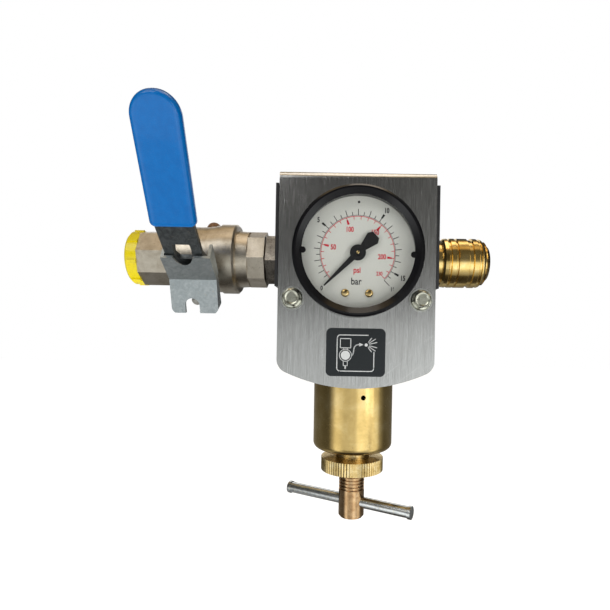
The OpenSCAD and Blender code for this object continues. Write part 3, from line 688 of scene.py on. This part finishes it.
def round_part(bm, profile, centre, axis="Y", steps=64):
    """A lathe: profile is (distance along the axis, radius) in mm from the centre, which is in metres."""
    rings = []
    for along, r in profile:
        ring = []
        for k in range(steps):
            a = 2 * math.pi * k / steps
            u, v = r * MM * math.cos(a), r * MM * math.sin(a)
            d = {"Y": (u, along * MM, v), "X": (along * MM, u, v), "Z": (u, v, along * MM)}[axis]
            ring.append(bm.verts.new(Vector(centre) + Vector(d)))
        rings.append(ring)
    for a, b in zip(rings, rings[1:]):
        for k in range(steps):
            bm.faces.new((a[k], a[(k + 1) % steps], b[(k + 1) % steps], b[k]))
    bm.faces.new(rings[0])
    bm.faces.new(rings[-1][::-1])
    bmesh.ops.recalc_face_normals(bm, faces=bm.faces)


def gauge_trim():
    """The brass pin in the pointer's hub, and the two black lugs that hold the lens in its bezel."""
    pointer_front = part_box("gauge_pointer")[0].y
    hub = bmesh.new()
    round_part(hub, [(0, .75), (-.25, .7), (-.35, .45), (-.38, .12)],
               (0, pointer_front + .1 * MM, 0), steps=24)
    piece("pointer_pin", hub, "inner_brass", "pointer")
    lens_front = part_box("gauge_lens")[0].y
    lug_x, lug_r = 26.4, 1.5
    lugs = bmesh.new()
    for side, z in ((1, -1.5), (-1, 0)):
        round_part(lugs, [(0, lug_r), (-.5, lug_r), (-.8, lug_r * .8)],
                   (side * lug_x * MM, lens_front - .3 * MM, z * MM), steps=24)
    piece("bezel_lugs", lugs, "gauge_black")


gauge_trim()


def domes():
    """The two rivets on the dial, domed as the real ones are."""
    lo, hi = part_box("dial_screws")
    r = (hi.z - lo.z) / 2 / MM
    dome = [(1.1, r * .96), (.75, r), (.5, r * .97), (.22, r * .8), (.06, r * .5), (0, r * .18)]
    bm = bmesh.new()
    for x in (lo.x + r * MM, hi.x - r * MM):
        round_part(bm, dome, (x, lo.y, (lo.z + hi.z) / 2), steps=40)
    o = piece("dial_rivets", bm, "inner_brass", smooth=50)
    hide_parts("dial_screws")


domes()


# ---------------------------------------------------------------- handle pieces

def handle_frame():
    """The handle's own frame, from its joint: Y away from the viewer along the stem, Z up the lever."""
    j = next(j for j in frame["joints"] if j["name"] == "handle_turn")
    out = Vector(j["axis"]).normalized()
    y = -out
    x = Vector((1, 0, 0))
    z = x.cross(y)
    m = Matrix((x, y, z)).transposed().to_4x4()
    m.translation = Vector(j["pos_m"])
    return m


HANDLE = handle_frame()


def local_box(node):
    inv = HANDLE.inverted()
    co = [inv @ v.co for v in NODES[node].data.vertices]
    return (Vector([min(c[k] for c in co) for k in range(3)]) / MM,
            Vector([max(c[k] for c in co) for k in range(3)]) / MM)


def grip():
    """The dipped vinyl sleeve: a soft stadium outline with a rolled front edge and a slight crown."""
    lo, hi = local_box("grip_sleeve")
    half = (hi.x - lo.x) / 2
    cx = (hi.x + lo.x) / 2
    bm = bmesh.new()

    def outline(inset):
        w = half - inset
        r = max(2.6 - inset, .25)
        bottom, centre = lo.z + inset, hi.z - half
        pts = []
        for k in range(9):
            a = math.radians(270 + 90 * k / 8)
            pts.append((w - r + r * math.cos(a), bottom + r + r * math.sin(a)))
        for k in range(1, 9):
            pts.append((w, bottom + r + (centre - bottom - r) * k / 9))
        for k in range(41):
            a = math.radians(180 * k / 40)
            pts.append((w * math.cos(a), centre + w * math.sin(a)))
        for k in range(1, 9):
            pts.append((-w, centre + (bottom + r - centre) * k / 9))
        for k in range(9):
            a = math.radians(180 + 90 * k / 8)
            pts.append((-w + r + r * math.cos(a), bottom + r + r * math.sin(a)))
        return pts

    rings = []
    deep = hi.y - lo.y
    levels = [(deep, 1.5), (deep - .25, .7), (deep - .8, .2), (deep - 1.6, 0), (2.4, 0), (1.5, .22),
              (.85, .62), (.42, 1.15), (.16, 1.8), (.05, 2.7), (.02, 4.2), (.0, 6.2), (.0, 8.4)]
    for y, inset in levels:
        rings.append([bm.verts.new(HANDLE @ (Vector((cx + x, lo.y + y, z)) * MM)) for x, z in outline(inset)])
    for a, b in zip(rings, rings[1:]):
        for k in range(len(a)):
            bm.faces.new((a[k], a[(k + 1) % len(a)], b[(k + 1) % len(a)], b[k]))
    bm.faces.new(rings[0])
    bm.faces.new(rings[-1][::-1])
    bmesh.ops.recalc_face_normals(bm, faces=bm.faces)
    o = piece("grip", bm, "grip_blue", "handle", 60)
    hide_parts("grip_sleeve")


grip()


def softened(node, name, slot, outline):
    """A folded sheet part, cut to an outline (X, Z in the handle's frame) with its edges broken."""
    lo, hi = local_box(node)
    bm = bmesh.new()
    bm.from_mesh(NODES[node].data)
    bmesh.ops.remove_doubles(bm, verts=bm.verts, dist=1e-6)
    bmesh.ops.dissolve_limit(bm, angle_limit=math.radians(2), verts=bm.verts, edges=bm.edges)
    sheet = bpy.data.meshes.new(name)
    bm.to_mesh(sheet)
    bm.free()
    bm = bmesh.new()
    ends = [[bm.verts.new(HANDLE @ (Vector((x, y, z)) * MM)) for x, z in outline]
            for y in (lo.y - 2, hi.y + 2)]
    for k in range(len(outline)):
        j = (k + 1) % len(outline)
        bm.faces.new((ends[0][k], ends[0][j], ends[1][j], ends[1][k]))
    bm.faces.new(ends[0][::-1])
    bm.faces.new(ends[1])
    bmesh.ops.recalc_face_normals(bm, faces=bm.faces)
    tool = bpy.data.meshes.new("outline")
    bm.to_mesh(tool)
    bm.free()
    work = bpy.data.objects.new("work", sheet)
    cutter = bpy.data.objects.new("cutter", tool)
    for o in (work, cutter):
        scene.collection.objects.link(o)
    cut = work.modifiers.new("cut", "BOOLEAN")
    cut.operation, cut.object, cut.solver = "INTERSECT", cutter, "EXACT"
    edge = work.modifiers.new("edge", "BEVEL")
    edge.width, edge.segments, edge.limit_method, edge.angle_limit = .35 * MM, 3, "ANGLE", math.radians(35)
    done = bpy.data.meshes.new_from_object(work.evaluated_get(bpy.context.evaluated_depsgraph_get()))
    for o in (work, cutter):
        bpy.data.objects.remove(o)
    done.materials.clear()
    o = piece(name, done, slot, "handle", 40)
    for p in o.data.polygons:           # only the broken edges and the hole walls are shaded smooth
        p.use_smooth = p.area < 1.2 * MM * MM
    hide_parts(node)


def rounded(lo, hi, low_r, high_r):
    """A box outline in X and Z with rounded lower and upper corners."""
    pts = []
    for cx, cz, r, a0 in ((lo.x, lo.z, low_r, 180), (hi.x, lo.z, low_r, 270),
                          (hi.x, hi.z, high_r, 0), (lo.x, hi.z, high_r, 90)):
        sx, sz = (1 if cx == lo.x else -1), (1 if cz == lo.z else -1)
        for k in range(13):
            a = math.radians(a0 + 90 * k / 12)
            pts.append((cx + sx * r + r * math.cos(a), cz + sz * r + r * math.sin(a)))
    return pts


def handle_sheets():
    lo, hi = local_box("lever")
    half = (hi.x - lo.x) / 2
    softened("lever", "lever_sheet", "lever_steel", rounded(lo, hi, half * .98, half * .98))
    lo, hi = local_box("lock_plate")
    softened("lock_plate", "lock_sheet", "lock_steel", rounded(lo, hi, 3.2, .1))


handle_sheets()


def hex_bolts():
    """The two flanged hexagon bolts: chamfered heads with a shallow dish, on a sloping flange."""
    lo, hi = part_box("panel_bolts")
    flange = (hi.z - lo.z) / 2 / MM
    shank = (hi.y - lo.y) / MM
    flat = flange * .75
    # distance from the head's face, radius, and 1 where the ring is cut to the hexagon
    rings = [(.4, .2, 0), (.4, 2.5, 0), (.14, 2.95, 0), (0, 3.35, 0), (.04, 3.75, 0), (.3, 4.1, 1),
             (.62, 4.45, 1), (3.2, 4.6, 1), (3.35, 4.7, 0), (3.6, 4.95, 0), (4.2, flange, 0),
             (4.55, flange, 0), (4.58, 3, 0), (shank - .5, 3, 0), (shank, 2.5, 0)]
    bm = bmesh.new()
    for side, x in ((-1, lo.x + flange * MM), (1, hi.x - flange * MM)):
        first = math.radians(12 * side)
        made = []
        for along, r, hexed in rings:
            ring = []
            for k in range(72):
                a = 2 * math.pi * k / 72
                to_flat = (a - first) % (math.pi / 3) - math.pi / 6
                q = min(r, flat / math.cos(to_flat)) if hexed else r
                ring.append(bm.verts.new((x + q * MM * math.cos(a), lo.y + along * MM,
                                          (lo.z + hi.z) / 2 + q * MM * math.sin(a))))
            made.append(ring)
        for a, b in zip(made, made[1:]):
            for k in range(72):
                bm.faces.new((a[k], a[(k + 1) % 72], b[(k + 1) % 72], b[k]))
        bm.faces.new(made[0])
        bm.faces.new(made[-1][::-1])
    bmesh.ops.recalc_face_normals(bm, faces=bm.faces)
    o = piece("hex_bolts", bm, "zinc_bolts", smooth=28)
    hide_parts("panel_bolts")


hex_bolts()


def springs():
    """Hidden pieces that the record says shorten with a joint, copied onto their bodies in place of their CAD
    nodes; the record names their fixed ends and how they scale, though nothing here makes them scale.
    """
    bodies = frame["record"]["behaviour"]["bodies"]
    for j in frame["record"]["behaviour"]["joints"]:
        for d in j.get("deforming_nodes", []):
            node, k = d["node"], "xyz".index(d["mode"][-1])
            lo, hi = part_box(node)
            fixed = d[f"fixed_end_{'xyz'[k]}_m"]
            anchor = (lo + hi) / 2
            anchor[k] = fixed
            body = next(b for b, nodes in bodies.items() if node in nodes)
            mesh = NODES[node].data.copy()
            o = piece(node + "_live", mesh, mesh.materials[0].name, body, 50)
            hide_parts(node)
            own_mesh(o)


springs()
